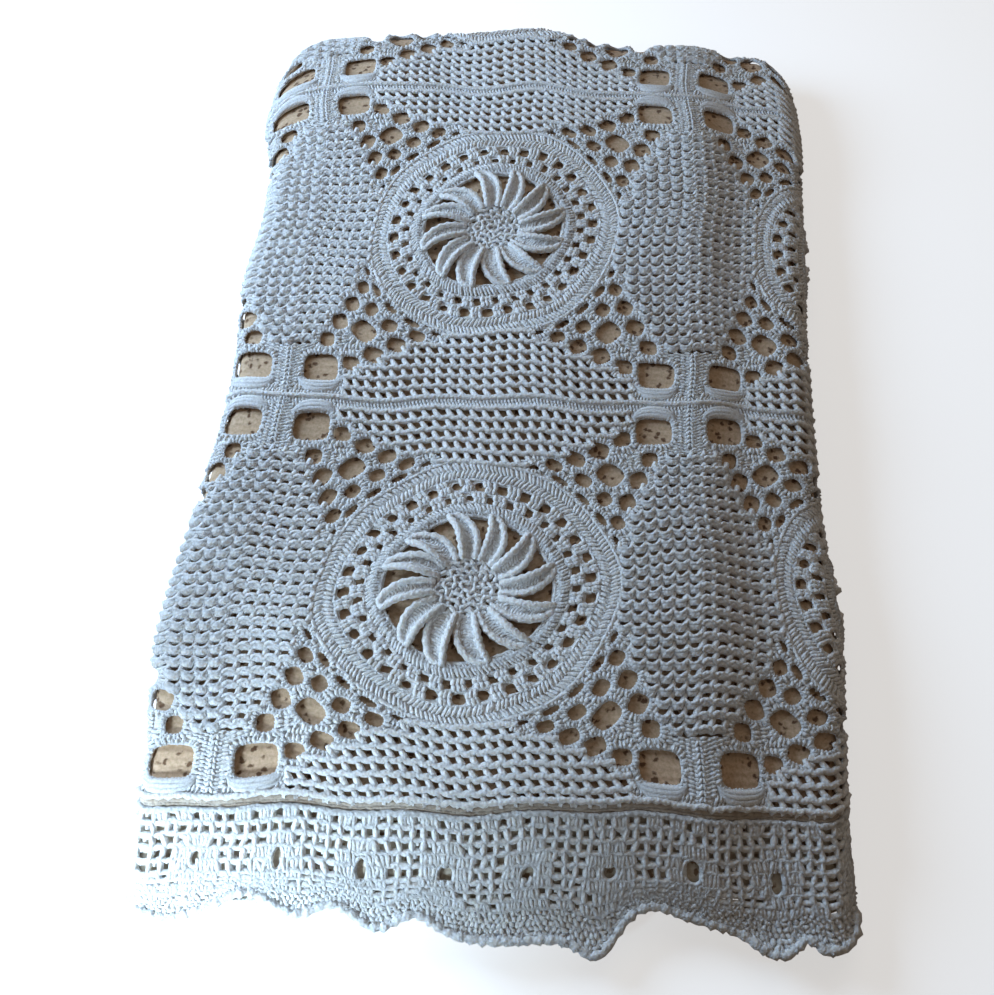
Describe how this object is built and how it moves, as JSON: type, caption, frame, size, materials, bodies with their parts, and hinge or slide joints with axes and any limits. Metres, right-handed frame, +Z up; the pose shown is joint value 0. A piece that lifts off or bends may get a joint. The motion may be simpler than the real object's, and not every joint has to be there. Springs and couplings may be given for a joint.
{
  "type": "crochet bedspread",
  "caption": "Folded cotton crochet bedspread of joined squares with a scalloped lace edging, lying flat in a thick soft bundle.",
  "frame": {"origin": "centre of the folded bundle's bounding box, on the plane that it lies on", "axes": "+X to the right as seen from the near edge, +Y from the scalloped near edge to the far fold, +Z up"},
  "size_m": [0.4179, 0.6892, 0.05],
  "materials": {
    "joined_squares": "white crocheted cotton, matt",
    "lace_edging": "white crocheted cotton, matt"
  },
  "bodies": {
    "root": {"joined_squares": "joined_squares", "lace_edging": "lace_edging"}
  },
  "joints": []
}
